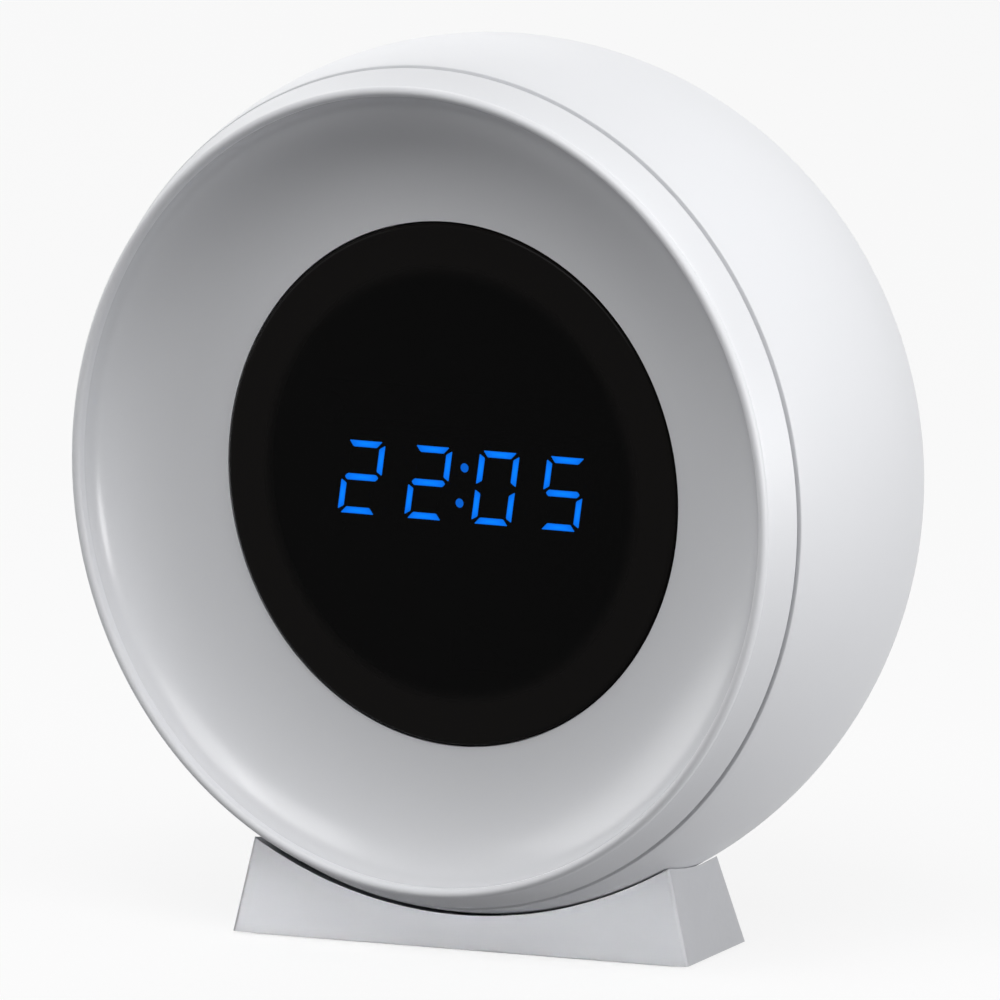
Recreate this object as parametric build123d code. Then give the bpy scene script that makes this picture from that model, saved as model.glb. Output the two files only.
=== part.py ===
from build123d import *
import os
from math import acos, asin, cos, degrees, radians, sin, sqrt, tan

# Night light clock: a round head with a lit bowl and a digital face, turning on a low wedge stand.
# Millimetres, +Z up, the face looks along -Y. The origin is on the table, under the swivel axis.
# In outlines that are spun about the face axis, X is the radius and Y the depth, positive to the rear.

# Head outline
head_radius = 57.5  # largest radius, level with the swivel axis
crown_radius = 46.5  # side-view arc of the rear shell
shell_wall = 1.8
seam_depth = 14.6  # seam ahead of the widest section
seam_gap = 0.3
seam_step = 0.15  # the shell stands this much proud of the front ring

# Front ring
ring_wall = 2.2  # band thickness at the seam
ring_fit = 0.1
bead_radius = 0.67
bead_lead = 1.4  # bead crest ahead of the bowl rim
bead_end_angle = 45.0  # degrees past the bead's widest point
rabbet_width = 0.35  # step that locates the ring on the bowl
rabbet_depth = 0.7

# Light bowl and the lens in its floor
rim_depth = 18.2  # rim ahead of the widest section
rim_wall = 0.9
cove_width = 17.35  # rim to lens opening
cove_depth = 7.8  # rim to bowl floor
bowl_wall = 2.0
skirt_wall = 1.4
skirt_overlap = 3.1  # skirt past the seam
lens_gap = 0.15
lens_thickness = 2.5
lens_proud = 0.4  # lens face ahead of the bowl floor
lens_edge_round = 0.7
tape_thickness = 0.3
tape_width = 2.2
seat_width = 2.9
seat_thickness = 1.4
collar_wall = 1.55

# Seven-segment display
face_gap = 0.8  # display face behind the lens
display_drop = 0.5  # display centre below the face axis
pitch_share = 0.2994  # digit pitch as a share of the lens radius
digit_width = 5.5
digit_height = 10.1
digit_slant = 9.5  # degrees
segment_thickness = 0.87
segment_mitre = 0.2
segment_depth = 0.9
colon_radius = 0.6
colon_spread = 4.7  # between the two dots
shown_time = "2205"
lit_bars = {"0": "abcdef", "2": "abged", "5": "afgcd"}
all_bars = "abcdefg"
module_side = 1.5  # housing left outside the digits
module_edge = 1.35  # housing left above and below them
module_depth = 6.2

# Display board on posts of the deck
board_thickness = 1.6
board_corner = 2.0
board_edge = 1.1  # board left outside its posts
post_radius = 2.3
post_gap = 1.2
display_post_height = 2.7
display_post_z = 7.6
driver_length = 13.0
driver_width = 7.5
driver_height = 1.7

# Deck: the inner frame behind the bowl
deck_thickness = 1.8
deck_margin = 3.4  # deck left outside the case screws
deck_clearance = 3.0  # deck above the swivel screw
baffle_fit = 0.15
baffle_wall = 1.4
baffle_end_gap = 0.3
wire_slot_width = 16.0
wire_slot_height = 6.0
wire_slot_drop = 24.0

# Night light ring board
light_gap = 0.75
light_board_width = 4.0
light_board_thickness = 1.2
light_count = 20
light_radial = 2.8
light_tangential = 3.5
light_height = 0.7

# Case screws, driven from behind down deep wells
boss_gap = 0.5
boss_radius = 3.2
boss_rib = 1.4
case_count = 4
case_start_angle = 45.0
well_bore = 3.1
well_wall = 1.4
well_floor = 3.0

# Rear cover and the ledge that it sits on
cover_web = 1.75  # shell between the cover and the screw wells
cover_gap = 0.15
cover_inset = 0.3
cover_thickness = 2.0
cover_margin = 1.0  # cover left outside the screw heads
cover_boss_radius = 2.6
cover_boss_height = 5.0
ledge_width = 5.6
ledge_thickness = 2.0

# Push buttons on the back
button_names = ["set_button", "up_button", "down_button", "light_button"]
button_pitch = 10.4
button_raise = 7.0  # button row above the face axis
button_radius = 3.4
button_gap = 0.3
button_proud = 1.2
button_round = 0.5
flange_extra = 1.2
flange_thickness = 1.0
flange_gap = 0.15
press_gap = 0.6  # flange to switch stem

# Control board behind the rear cover
control_post_x = 17.6
control_post_gap = 0.5  # posts clear of the button flanges
switch_size = 6.0
switch_height = 3.4
stem_radius = 1.7
stem_height = 0.9
chip_size = 7.0
chip_height = 1.2
chip_x = 10.0
chip_z = 6.0
sounder_radius = 4.5
sounder_height = 4.2
sounder_x = 10.0
sounder_z = -5.0
sound_hole_radius = 0.7
sound_hole_circle = 2.4
sound_hole_count = 6
cell_radius = 10.0
cell_thickness = 3.2
cell_x = -8.0
cell_z = -1.0
clip_gap = 0.3
clip_thickness = 0.4
clip_width = 6.0

# Charging inlet
inlet_width = 8.9
inlet_height = 3.2
inlet_wall = 0.3
inlet_gap = 0.3
inlet_recess = 0.5
inlet_drop = 11.0  # inlet centre below the face axis
inlet_floor = 1.2
tongue_width = 6.7
tongue_thickness = 0.7
tongue_setback = 1.0

# Screws: shank radius, head radius, head height, and the holes for them
case_shank = 1.5
case_head = 2.7
case_head_height = 1.8
case_screw_reach = 7.0  # thread in the bowl's boss
small_shank = 0.95
small_head = 1.9
small_head_height = 1.1
small_screw_reach = 3.5
screw_clearance = 0.15
thread_gap = 0.05
pilot_extra = 0.5

# Stand
foot_height = 0.3
foot_sink = 0.4
foot_gap = 0.1
foot_margin = 1.0  # stand left outside the foot
foot_corner = 2.0
stand_floor = 3.1
dish_gap = 0.3
stand_width = 64.7
stand_front = 12.0
stand_rear = 7.5
stand_height = 13.0
side_lean = 12.9  # degrees
front_lean = 2.9
rear_lean = 14.6
stand_turn = 8.4  # stand turned about the swivel axis, as photographed
stand_edge_round = 0.4

# Swivel
stub_radius = 4.5
stub_clearance = 0.3
pad_radius = 10.5
pad_thickness = 2.5
washer_thickness = 0.4
washer_play = 0.1
washer_margin = 0.2
retainer_gap = 0.6
retainer_thickness = 1.2
tenon_size = 4.2
tenon_gap = 0.05
tenon_relief = 0.1  # tenon shorter than the retainer
tab_width = 3.2
tab_margin = 0.5
stop_wall_width = 2.3
stop_wall_height = 2.2
stop_margin = 1.0  # degrees
swivel_limit = 45.0  # degrees each way from straight ahead
swivel_screw_reach = 4.5

overrun = 2.0  # how far cutting tools pass through

# Heights of the swivel and the face axis
dish_bottom = foot_height + stand_floor
shell_bottom = dish_bottom + dish_gap
axis_height = shell_bottom + head_radius
pad_top = shell_bottom + shell_wall + pad_thickness
washer_bottom = pad_top + washer_play
retainer_bottom = washer_bottom + washer_thickness
retainer_top = retainer_bottom + retainer_thickness
swivel_top = retainer_top + case_head_height
lift = Pos(0, 0, axis_height)
turned = Rot(0, 0, stand_turn)


def crown_r(depth, inset):
    """Radius of the rear shell's arc, or of a parallel arc inside it, at a depth."""
    return head_radius - crown_radius + sqrt((crown_radius - inset) ** 2 - depth**2)


def crown_y(radius, inset):
    """Depth, behind the widest section, of the same arc at a radius."""
    return sqrt((crown_radius - inset) ** 2 - (radius - head_radius + crown_radius) ** 2)


# Depths along the face axis
seam_y = -seam_depth
mouth_y = seam_y + seam_gap
rim_y = -rim_depth
rabbet_y = rim_y + rabbet_depth
floor_y = rim_y + cove_depth
skirt_end_y = seam_y + skirt_overlap
lens_front_y = floor_y - lens_proud
lens_rear_y = lens_front_y + lens_thickness
seat_y = lens_rear_y + tape_thickness
seat_rear_y = seat_y + seat_thickness
display_face_y = lens_rear_y + face_gap
module_rear_y = display_face_y + module_depth
display_board_y = module_rear_y + board_thickness
deck_y = display_board_y + display_post_height
deck_rear_y = deck_y + deck_thickness
light_board_y = deck_y - light_board_thickness
well_y = deck_rear_y + well_floor

# Radii about the face axis
ring_radius = crown_r(seam_y, 0) - seam_step
ring_bore = ring_radius - ring_wall
skirt_radius = ring_bore - ring_fit
skirt_bore = skirt_radius - skirt_wall
rim_radius = skirt_radius - rim_wall
cove_radius = rim_radius - cove_width
lens_radius = cove_radius - lens_gap
seat_bore = cove_radius - seat_width
collar_radius = cove_radius + collar_wall
baffle_bore = collar_radius + baffle_fit
baffle_radius = baffle_bore + baffle_wall
light_board_bore = baffle_radius + light_gap
light_board_radius = light_board_bore + light_board_width
case_circle = light_board_radius + boss_gap + boss_radius
deck_radius = case_circle + deck_margin
deck_flat = axis_height - swivel_top - deck_clearance
recess_radius = case_circle - well_bore - cover_web
cover_radius = recess_radius - cover_gap
cover_circle = cover_radius - cover_margin - small_head - screw_clearance
ledge_bore = recess_radius - ledge_width
stop_wall_bore = pad_radius - stop_wall_width
retainer_radius = stop_wall_bore - retainer_gap

# Depths of the back, which follow from the cover's radius
back_y = crown_y(recess_radius, 0)
cover_y = back_y - cover_inset
ledge_y = cover_y - cover_thickness
ledge_front_y = ledge_y - ledge_thickness
flange_y = ledge_y - flange_gap
control_rear_y = flange_y - flange_thickness - press_gap - stem_height - switch_height
control_front_y = control_rear_y - board_thickness

# Widths and places on the boards
lean = tan(radians(digit_slant))
digit_pitch = pitch_share * lens_radius
row_width = (len(shown_time) - 1) * digit_pitch + digit_width
module_width = row_width + digit_height * lean + 2 * module_side
module_height = digit_height + 2 * module_edge
display_post_x = module_width / 2 + small_head + post_gap
control_post_z = button_raise + button_radius + flange_extra + post_radius + control_post_gap


def ring_places(radius, count, start_angle):
    """Places round the face axis, as X and Z pairs."""
    angles = [radians(start_angle + 360 * i / count) for i in range(count)]
    return [(radius * cos(a), radius * sin(a)) for a in angles]


def corner_places(x, z, drop):
    """Four places mirrored left to right and top to bottom about a point below the face axis."""
    return [(sx * x, sz * z - drop) for sx in (-1, 1) for sz in (-1, 1)]


def row_places(count, pitch, z):
    """Places in a level row that is centred on the face axis."""
    return [((i - (count - 1) / 2) * pitch, z) for i in range(count)]


case_places = ring_places(case_circle, case_count, case_start_angle)
cover_places = ring_places(cover_circle, case_count, 0)
button_places = row_places(len(button_names), button_pitch, button_raise)
display_places = corner_places(display_post_x, display_post_z, display_drop)
control_places = corner_places(control_post_x, control_post_z, 0)


# Shapes that many pieces use


def spun(*lines):
    """Body of revolution about the face axis, from a closed outline."""
    return lift * revolve(make_face([edge for line in lines for edge in line.edges()]), Axis.Y)


def rod(radius, start, end, x=0, z=0):
    """Round bar along the depth, placed from the face axis."""
    bar = Cylinder(radius, end - start, align=(Align.CENTER, Align.CENTER, Align.MIN))
    return lift * Pos(x, start, z) * Rot(-90, 0, 0) * bar


def slab(width, height, start, end, x=0, z=0):
    """Block along the depth, placed from the face axis."""
    block = Box(width, end - start, height, align=(Align.CENTER, Align.MIN, Align.CENTER))
    return lift * Pos(x, start, z) * block


def stadium(width, height, start, end, z):
    """Bar along the depth with half-round ends."""
    half = (width - height) / 2
    bar = slab(width - height, height, start, end, 0, z)
    return bar + rod(height / 2, start, end, -half, z) + rod(height / 2, start, end, half, z)


def disc(radius, start, end):
    """Upright round bar about the swivel axis, between two heights."""
    return Pos(0, 0, start) * Cylinder(radius, end - start, align=(Align.CENTER, Align.CENTER, Align.MIN))


def circuit_board(post_x, post_z, start, end, drop, places):
    """Board that reaches past its posts, with a clearance hole over each."""
    reach = post_radius + board_edge
    blank = slab(2 * (post_x + reach), 2 * (post_z + reach), start, end, 0, -drop)
    board = fillet(blank.edges().filter_by(Axis.Y), board_corner)
    for x, z in places:
        board -= rod(small_shank + screw_clearance, start - overrun, end + overrun, x, z)
    return board


def group(solids):
    """Separate like solids as one node."""
    return Compound(children=list(solids))


def screws(shank, head, head_height, seat, tip, places):
    """Pan-head screws along the depth; each head lies on the seat, on the side away from the tip."""
    away = seat + head_height if seat > tip else seat - head_height
    single = rod(head, min(seat, away), max(seat, away)) + rod(shank, min(seat, tip), max(seat, tip))
    return group(Pos(x, 0, z) * single for x, z in places)


# Rear shell


def head_core():
    """Solid filling of the shell to the middle of its wall; inner features are cut to it."""
    inset = shell_wall / 2
    flat_y = ledge_y - ledge_thickness / 2
    front = (crown_r(mouth_y, inset), mouth_y)
    rear = (crown_r(flat_y, inset), flat_y)
    return spun(
        ThreePointArc(front, (head_radius - inset, 0), rear),
        Polyline(rear, (0, flat_y), (0, mouth_y), front),
    )


def stop_wall():
    """Wall round the swivel pad, open over the sweep of the retainer's tab."""
    half_gap = radians(swivel_limit + stop_margin) + asin(tab_width / 2 / stop_wall_bore)
    top = pad_top + stop_wall_height
    wall = disc(pad_radius, pad_top, top) - disc(stop_wall_bore, pad_top, top)
    reach = 2 * pad_radius
    side = reach * sin(half_gap)
    near = reach * cos(half_gap)
    sweep = Polyline((0, 0), (-side, near), (-side, reach), (side, reach), (side, near), close=True)
    return wall - Pos(0, 0, pad_top) * extrude(make_face(sweep.edges()), stop_wall_height)


def rear_shell():
    """Domed rear housing with screw wells, the cover's ledge and the swivel pad."""
    mouth = (crown_r(mouth_y, 0), mouth_y)
    back = (recess_radius, back_y)
    inner_back = (crown_r(ledge_front_y, shell_wall), ledge_front_y)
    inner_mouth = (crown_r(mouth_y, shell_wall), mouth_y)
    shell = spun(
        ThreePointArc(mouth, (head_radius, 0), back),
        Polyline(back, (recess_radius, ledge_y), (ledge_bore, ledge_y), (ledge_bore, ledge_front_y), inner_back),
        ThreePointArc(inner_back, (head_radius - shell_wall, 0), inner_mouth),
        Line(inner_mouth, mouth),
    )
    inner = disc(pad_radius, shell_bottom, pad_top)
    for x, z in case_places:
        inner += rod(well_bore + well_wall, deck_rear_y, back_y, x, z)
    for x, z in cover_places:
        inner += rod(cover_boss_radius, ledge_front_y - cover_boss_height, ledge_y, x, z)
    shell += inner & head_core()
    shell += stop_wall()
    for x, z in case_places:
        shell -= rod(well_bore, well_y, back_y + overrun, x, z)
        shell -= rod(case_shank + screw_clearance, deck_rear_y - overrun, well_y + overrun, x, z)
    for x, z in cover_places:
        depth = small_screw_reach + pilot_extra
        shell -= rod(small_shank + thread_gap, ledge_y - depth, ledge_y + overrun, x, z)
    return shell - disc(stub_radius + stub_clearance, shell_bottom - overrun, pad_top + overrun)


# Front ring, light bowl and lens


def front_ring():
    """Bead and slanted band between the bowl and the rear shell."""
    bead_y = rim_y - bead_lead + bead_radius
    bead_r = rim_radius + bead_radius
    end = radians(bead_end_angle)
    inner = (rim_radius, bead_y)
    crest = (bead_r, bead_y - bead_radius)
    outer = (bead_r + bead_radius * cos(end), bead_y + bead_radius * sin(end))
    lip = ring_bore - rabbet_width
    seat = [(ring_bore, seam_y), (ring_bore, rabbet_y), (lip, rabbet_y), (lip, rim_y), (rim_radius, rim_y)]
    return spun(ThreePointArc(inner, crest, outer), Polyline(outer, (ring_radius, seam_y), *seat, inner))


back_cove_width = cove_width + rim_wall
back_cove_depth = cove_depth + bowl_wall


def back_cove_angle(radius):
    """Angle in degrees on the ellipse of the bowl's back surface, at a radius."""
    return degrees(acos((radius - cove_radius) / back_cove_width))


def back_cove_y(radius):
    """Depth of the bowl's back surface at a radius."""
    return rim_y + back_cove_depth * sin(radians(back_cove_angle(radius)))


def cove_void():
    """Space in front of the middle of the bowl's wall; bosses behind the bowl are cut by it."""
    width = cove_width + rim_wall / 2
    depth = cove_depth + bowl_wall / 2
    rim = (cove_radius + width, rim_y)
    floor = (cove_radius, rim_y + depth)
    return spun(
        EllipticalCenterArc((cove_radius, rim_y), width, depth),
        Polyline(floor, (0, floor[1]), (0, rim_y), rim),
    )


def light_bowl():
    """Opal cove that the night light shines through, with the lens seat and screw bosses."""
    centre = (cove_radius, rim_y)
    skirt_angle = back_cove_angle(skirt_bore)
    arc = back_cove_angle(collar_radius) - skirt_angle
    seat = [(cove_radius, seat_y), (seat_bore, seat_y), (seat_bore, seat_rear_y), (collar_radius, seat_rear_y)]
    lip = skirt_radius - rabbet_width
    skirt = [(skirt_bore, skirt_end_y), (skirt_radius, skirt_end_y), (skirt_radius, rabbet_y), (lip, rabbet_y)]
    skirt += [(lip, rim_y), (rim_radius, rim_y)]
    bowl = spun(
        EllipticalCenterArc(centre, cove_width, cove_depth),
        Polyline((cove_radius, floor_y), *seat, (collar_radius, back_cove_y(collar_radius))),
        EllipticalCenterArc(centre, back_cove_width, back_cove_depth, skirt_angle, arc_size=arc),
        Polyline((skirt_bore, back_cove_y(skirt_bore)), *skirt),
    )
    rib_depth = skirt_end_y - rim_y
    rib = Box(skirt_bore - case_circle, rib_depth, boss_rib, align=(Align.MIN, Align.MIN, Align.CENTER))
    boss = rod(boss_radius, rim_y, deck_y, case_circle) + lift * Pos(case_circle, rim_y, 0) * rib
    boss -= cove_void()
    boss -= rod(case_shank + thread_gap, deck_y - case_screw_reach - pilot_extra, deck_y, case_circle)
    for i in range(case_count):
        bowl += lift * Rot(0, case_start_angle + 360 * i / case_count, 0) * lift.inverse() * boss
    return bowl


def display_lens():
    """Smoked disc with a rounded front edge."""
    lens = rod(lens_radius, lens_front_y, lens_rear_y)
    front = lens.edges().filter_by(GeomType.CIRCLE).sort_by(Axis.Y)[0]
    return fillet(front, lens_edge_round)


def lens_tape():
    """Adhesive ring between the lens and its seat."""
    hole = rod(lens_radius - tape_width, lens_rear_y, seat_y)
    return rod(lens_radius, lens_rear_y, seat_y) - hole


# Inner frame and night light


def inner_deck():
    """Inner frame: a plate on the bowl's bosses with a light baffle and display posts."""
    baffle_y = back_cove_y(baffle_radius) + baffle_end_gap
    deck = rod(deck_radius, deck_y, deck_rear_y)
    below = Box(2 * deck_radius, deck_thickness, deck_radius, align=(Align.CENTER, Align.MIN, Align.MAX))
    deck -= lift * Pos(0, deck_y, -deck_flat) * below
    deck += rod(baffle_radius, baffle_y, deck_y) - rod(baffle_bore, baffle_y, deck_y)
    for x, z in display_places:
        deck += rod(post_radius, display_board_y, deck_y, x, z)
        deck -= rod(small_shank + thread_gap, display_board_y, deck_rear_y, x, z)
    for x, z in case_places:
        deck -= rod(case_shank + screw_clearance, deck_y, deck_rear_y, x, z)
    return deck - slab(wire_slot_width, wire_slot_height, deck_y, deck_rear_y, 0, -wire_slot_drop)


def light_board():
    """Ring board that carries the night light."""
    return rod(light_board_radius, light_board_y, deck_y) - rod(light_board_bore, light_board_y, deck_y)


def light_chips():
    """White light-emitting chips round the ring board."""
    middle = (light_board_bore + light_board_radius) / 2
    chip = Box(light_radial, light_height, light_tangential, align=(Align.CENTER, Align.MAX, Align.CENTER))
    placed = Pos(middle, light_board_y, 0) * chip
    return group(lift * Rot(0, 360 * i / light_count, 0) * placed for i in range(light_count))


# Display


def bar_outline(bar):
    """Corners of one display bar in its upright digit, from the lower left of the digit."""
    w, h, t, m = digit_width, digit_height, segment_thickness, segment_mitre
    if bar == "g":
        left = [(t + m, h / 2 - t / 2), (t / 2 + m, h / 2), (t + m, h / 2 + t / 2)]
        return left + [(w - x, z) for x, z in reversed(left)]
    if bar in "ad":
        points = [(m, h), (w - m, h), (w - t - m, h - t), (t + m, h - t)]
    else:
        points = [(0, h - m), (t, h - t - m), (t, h / 2 + t / 2 + m), (t / 2, h / 2 + m), (0, h / 2 + m)]
    if bar in "bc":
        points = [(w - x, z) for x, z in points]
    if bar in "cde":
        points = [(x, h - z) for x, z in points]
    return points


def display_bar(place, bar):
    """One bar of the digit at a place, leaned over and set into the display face."""
    left = place * digit_pitch - row_width / 2
    corners = []
    for x, z in bar_outline(bar):
        height = z - digit_height / 2
        corners.append((left + x + height * lean, height))
    face = make_face(Polyline(*corners, close=True).edges())
    return lift * Pos(0, display_face_y, -display_drop) * extrude(Plane.XZ * face, -segment_depth)


def display_bars(lit):
    """Lit or dark bars of the shown time."""
    bars = []
    for place, digit in enumerate(shown_time):
        bars += [display_bar(place, bar) for bar in all_bars if (bar in lit_bars[digit]) == lit]
    return bars


def colon_dots():
    """Two round dots between the hours and the minutes."""
    middle = (len(shown_time) / 2 - 1 / 2) * digit_pitch + (digit_width - row_width) / 2
    heights = (-colon_spread / 2, colon_spread / 2)
    end = display_face_y + segment_depth
    return [rod(colon_radius, display_face_y, end, middle + z * lean, z - display_drop) for z in heights]


def display_module(bars):
    """Display housing with a pocket for each bar."""
    return slab(module_width, module_height, display_face_y, module_rear_y, 0, -display_drop) - bars


def display_board():
    """Board behind the display, screwed to the deck's posts."""
    return circuit_board(
        display_post_x, display_post_z, module_rear_y, display_board_y, display_drop, display_places
    )


def driver_chip():
    """Display driver on the back of the display board."""
    rear = display_board_y + driver_height
    return slab(driver_length, driver_width, display_board_y, rear, 0, -display_drop)


# Rear cover with its board, buttons and inlet


def rear_cover():
    """Round back panel with button holes, the inlet's opening, sound holes and board posts."""
    cover = rod(cover_radius, ledge_y, cover_y)
    for x, z in control_places:
        cover += rod(post_radius, control_rear_y, ledge_y, x, z)
        cover -= rod(small_shank + thread_gap, control_rear_y, ledge_y, x, z)
    for x, z in button_places:
        cover -= rod(button_radius + button_gap, ledge_y, cover_y, x, z)
    for x, z in cover_places:
        cover -= rod(small_shank + screw_clearance, ledge_y, cover_y, x, z)
        cover -= rod(small_head + screw_clearance, cover_y - small_head_height, cover_y, x, z)
    for x, z in [(0, 0)] + ring_places(sound_hole_circle, sound_hole_count, 0):
        cover -= rod(sound_hole_radius, ledge_y, cover_y, sounder_x + x, sounder_z + z)
    width = inlet_width + 2 * inlet_gap
    height = inlet_height + 2 * inlet_gap
    return cover - stadium(width, height, ledge_y, cover_y, -inlet_drop)


def push_button(x, z):
    """Round cap that slides in the cover, kept in by its flange."""
    cap = rod(button_radius, flange_y, cover_y + button_proud, x, z)
    cap = fillet(cap.edges().filter_by(GeomType.CIRCLE).sort_by(Axis.Y)[-1], button_round)
    return cap + rod(button_radius + flange_extra, flange_y - flange_thickness, flange_y, x, z)


def control_board():
    """Board with the clock's switches and its charging inlet."""
    return circuit_board(control_post_x, control_post_z, control_front_y, control_rear_y, 0, control_places)


def tact_switches():
    """Push switches under the buttons."""
    top = control_rear_y + switch_height
    single = slab(switch_size, switch_size, control_rear_y, top) + rod(stem_radius, top, top + stem_height)
    return group(Pos(x, 0, z) * single for x, z in button_places)


def charge_inlet():
    """Oblong metal inlet with its tongue."""
    mouth = cover_y - inlet_recess
    width = inlet_width - 2 * inlet_wall
    height = inlet_height - 2 * inlet_wall
    inlet = stadium(inlet_width, inlet_height, control_rear_y, mouth, -inlet_drop)
    inlet -= stadium(width, height, control_rear_y + inlet_floor, mouth, -inlet_drop)
    return inlet + slab(tongue_width, tongue_thickness, control_rear_y, mouth - tongue_setback, 0, -inlet_drop)


def control_chip():
    """Clock chip on the inner face of the control board."""
    return slab(chip_size, chip_size, control_front_y - chip_height, control_front_y, chip_x, chip_z)


def sounder():
    """Alarm sounder on the inner face of the control board."""
    return rod(sounder_radius, control_front_y - sounder_height, control_front_y, sounder_x, sounder_z)


def backup_cell():
    """Coin cell that keeps the time when the clock is unplugged."""
    return rod(cell_radius, control_front_y - cell_thickness, control_front_y, cell_x, cell_z)


def cell_clip():
    """Sprung strip that holds the coin cell on its board."""
    width = 2 * (cell_radius + clip_gap)
    inner_y = control_front_y - cell_thickness
    strip = slab(
        width + 2 * clip_thickness, clip_width, inner_y - clip_thickness, control_front_y, cell_x, cell_z
    )
    return strip - slab(width, clip_width, inner_y, control_front_y, cell_x, cell_z)


# Screws of the head


def case_screws():
    """Long screws from the wells through the deck into the bowl's bosses."""
    return screws(case_shank, case_head, case_head_height, well_y, deck_y - case_screw_reach, case_places)


def small_screws(seat, tip, places):
    """Short screws for boards and the cover."""
    return screws(small_shank, small_head, small_head_height, seat, tip, places)


# Stand and swivel


def stand_section(z):
    """Outline of the stand at a height."""
    rise = z - foot_height
    half = stand_width / 2 - rise * tan(radians(side_lean))
    front = -stand_front + rise * tan(radians(front_lean))
    rear = stand_rear - rise * tan(radians(rear_lean))
    return Pos(0, (front + rear) / 2, z) * Rectangle(2 * half, rear - front)


def foot(inset, top):
    """Rounded plate under the stand, set in from its bottom edges."""
    width = stand_width - 2 * inset
    depth = stand_front + stand_rear - 2 * inset
    return Pos(0, (stand_rear - stand_front) / 2, 0) * extrude(RectangleRounded(width, depth, foot_corner), top)


def stand_block():
    """Solid cast wedge with a dished top, the swivel's stub and a shallow bed for the foot."""
    block = loft([stand_section(foot_height), stand_section(foot_height + stand_height)], ruled=True)
    leaning = block.edges().filter_by(Axis.X, reverse=True).filter_by(Axis.Y, reverse=True)
    block = fillet(leaning, stand_edge_round)
    block -= lift * Sphere(head_radius + dish_gap)
    block -= foot(foot_margin, foot_height + foot_sink)
    block += disc(stub_radius, foot_height + stand_floor / 2, retainer_bottom)
    tenon_height = retainer_thickness - tenon_relief
    tenon = Box(tenon_size, tenon_size, tenon_height, align=(Align.CENTER, Align.CENTER, Align.MIN))
    block += Pos(0, 0, retainer_bottom) * tenon
    pilot = retainer_bottom - swivel_screw_reach - pilot_extra
    return turned * (block - disc(case_shank + thread_gap, pilot, retainer_top))


def foot_pad():
    """Rubber foot let into the underside of the stand."""
    return turned * foot(foot_margin + foot_gap, foot_height + foot_sink)


def swivel_washer():
    """Friction washer between the head's pad and the retainer."""
    ring = disc(retainer_radius - washer_margin, washer_bottom, retainer_bottom)
    return turned * (ring - disc(stub_radius + washer_margin, washer_bottom, retainer_bottom))


def swivel_retainer():
    """Steel plate keyed on the stub, with the tab that meets the stops."""
    plate = disc(retainer_radius, retainer_bottom, retainer_top)
    reach = pad_radius - tab_margin
    tab = Box(tab_width, reach, retainer_thickness, align=(Align.CENTER, Align.MIN, Align.MIN))
    plate += Pos(0, 0, retainer_bottom) * tab
    opening = tenon_size + 2 * tenon_gap
    key = Box(opening, opening, retainer_thickness, align=(Align.CENTER, Align.CENTER, Align.MIN))
    return turned * (plate - Pos(0, 0, retainer_bottom) * key)


def swivel_screw():
    """Screw that holds the retainer on the stub."""
    head = disc(case_head, retainer_top, swivel_top)
    return turned * (head + disc(case_shank, retainer_bottom - swivel_screw_reach, retainer_top))


def all_parts():
    """Every node of the clock by its name."""
    lit = display_bars(True)
    dark = display_bars(False)
    dots = colon_dots()
    cover_seat_y = cover_y - small_head_height
    parts = {
        "rear_shell": rear_shell(),
        "front_ring": front_ring(),
        "light_bowl": light_bowl(),
        "display_lens": display_lens(),
        "lens_tape": lens_tape(),
        "inner_deck": inner_deck(),
        "light_board": light_board(),
        "light_chips": light_chips(),
        "display_module": display_module(lit + dark + dots),
        "lit_segments": group(lit),
        "dark_segments": group(dark),
        "colon_dots": group(dots),
        "display_board": display_board(),
        "driver_chip": driver_chip(),
        "rear_cover": rear_cover(),
        "control_board": control_board(),
        "control_chip": control_chip(),
        "sounder": sounder(),
        "backup_cell": backup_cell(),
        "cell_clip": cell_clip(),
        "tact_switches": tact_switches(),
        "charge_inlet": charge_inlet(),
        "case_screws": case_screws(),
        "cover_screws": small_screws(cover_seat_y, ledge_y - small_screw_reach, cover_places),
        "display_screws": small_screws(module_rear_y, display_board_y + small_screw_reach, display_places),
        "control_screws": small_screws(control_front_y, control_rear_y + small_screw_reach, control_places),
        "stand_block": stand_block(),
        "foot_pad": foot_pad(),
        "swivel_washer": swivel_washer(),
        "swivel_retainer": swivel_retainer(),
        "swivel_screw": swivel_screw(),
    }
    for name, (x, z) in zip(button_names, button_places):
        parts[name] = push_button(x, z)
    return parts


os.makedirs("parts", exist_ok=True)
for node, shape in all_parts().items():
    export_step(shape, f"parts/{node}.step")
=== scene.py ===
"""Night light clock: the shapes, finishes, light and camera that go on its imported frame."""

import math

import bpy
from bpy.props import FloatProperty, FloatVectorProperty, PointerProperty
from mathutils import Matrix, Vector


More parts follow.
